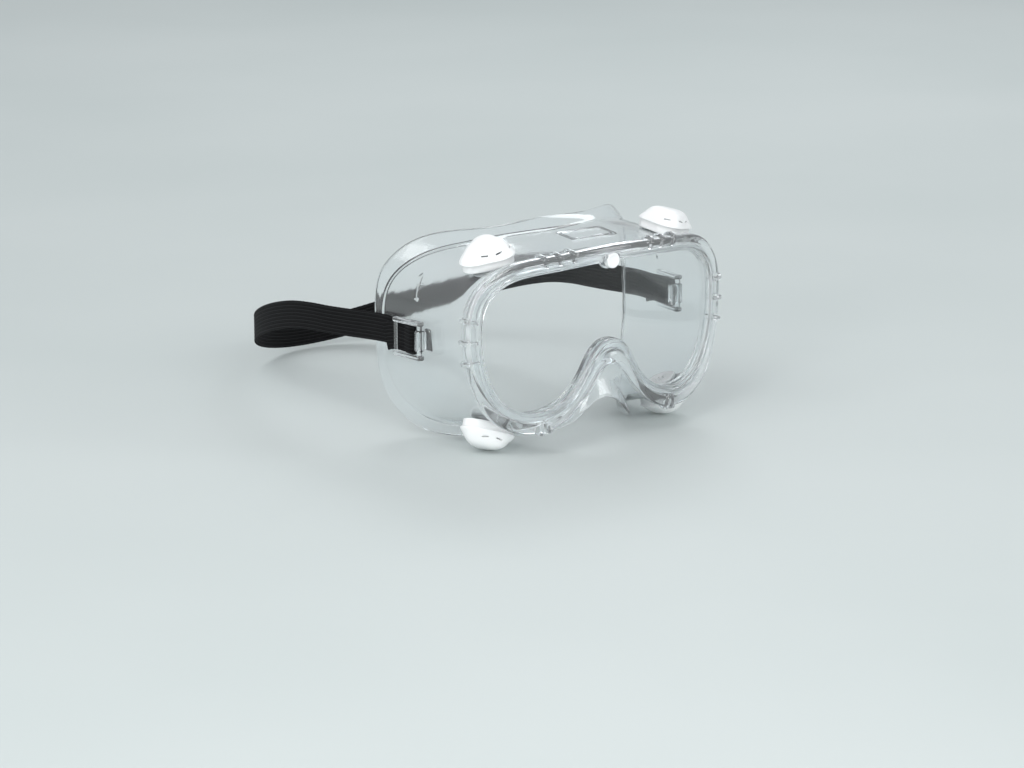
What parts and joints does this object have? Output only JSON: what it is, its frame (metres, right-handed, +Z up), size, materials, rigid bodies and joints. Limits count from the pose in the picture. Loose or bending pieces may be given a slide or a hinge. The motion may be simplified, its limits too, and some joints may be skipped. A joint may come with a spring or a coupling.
{
  "type": "safety goggles",
  "caption": "Soft clear chemical-splash goggles with a curved clear lens, white capped vents, hinged side buckles and a black elastic headband.",
  "frame": {"origin": "middle of the face-seal opening: on the plane of symmetry, 40 mm behind the front of the lens, at mid-height of the lens opening", "axes": "+Y towards the back of the head, +Z up, +X to the wearer's left"},
  "size_m": [0.1606, 0.2356, 0.0982],
  "materials": {
    "clear_pvc": "gloss",
    "clear_lens": "gloss",
    "white_plastic": "satin",
    "clear_plastic": "gloss",
    "black_elastic": "matte"
  },
  "bodies": {
    "frame": {"frame_body": "clear_pvc", "lens": "clear_lens", "lens_stud": "white_plastic", "lens_stud_cap": "white_plastic", "vent_cap_upper_left": "white_plastic", "vent_cap_upper_right": "white_plastic", "vent_cap_lower_left": "white_plastic", "vent_cap_lower_right": "white_plastic", "vent_baffle_upper_left": "white_plastic", "vent_baffle_upper_right": "white_plastic", "vent_baffle_lower_left": "white_plastic", "vent_baffle_lower_right": "white_plastic", "strap_side_left": "black_elastic", "strap_side_right": "black_elastic"},
    "left_buckle": {"buckle_left": "clear_plastic", "strap_loop_left": "black_elastic"},
    "right_buckle": {"buckle_right": "clear_plastic", "strap_loop_right": "black_elastic"},
    "left_tail": {"strap_tail_left": "black_elastic"},
    "right_tail": {"strap_tail_right": "black_elastic"},
    "headband": {"strap_back": "black_elastic"}
  },
  "joints": [
    {"name": "left_buckle_swing", "type": "hinge", "parent": "frame", "child": "left_buckle", "pos_m": [0.077, 0, -0.001], "axis": [0, 0, -1], "range_deg": [0, 60], "deforming": ["strap_side_left"]},
    {"name": "right_buckle_swing", "type": "hinge", "parent": "frame", "child": "right_buckle", "pos_m": [-0.077, 0, -0.001], "axis": [0, 0, 1], "range_deg": [0, 60], "deforming": ["strap_side_right"]},
    {"name": "left_tail_slide", "type": "slide", "parent": "left_buckle", "child": "left_tail", "axis": [0, 1, 0], "range_m": [0, 0.02]},
    {"name": "right_tail_slide", "type": "slide", "parent": "right_buckle", "child": "right_tail", "axis": [0, 1, 0], "range_m": [0, 0.02]},
    {"name": "headband_stretch", "type": "slide", "parent": "frame", "child": "headband", "axis": [0, 1, 0], "range_m": [0, 0.05], "stiffness_N_per_m": 60, "deforming": ["strap_side_left", "strap_side_right"]}
  ]
}
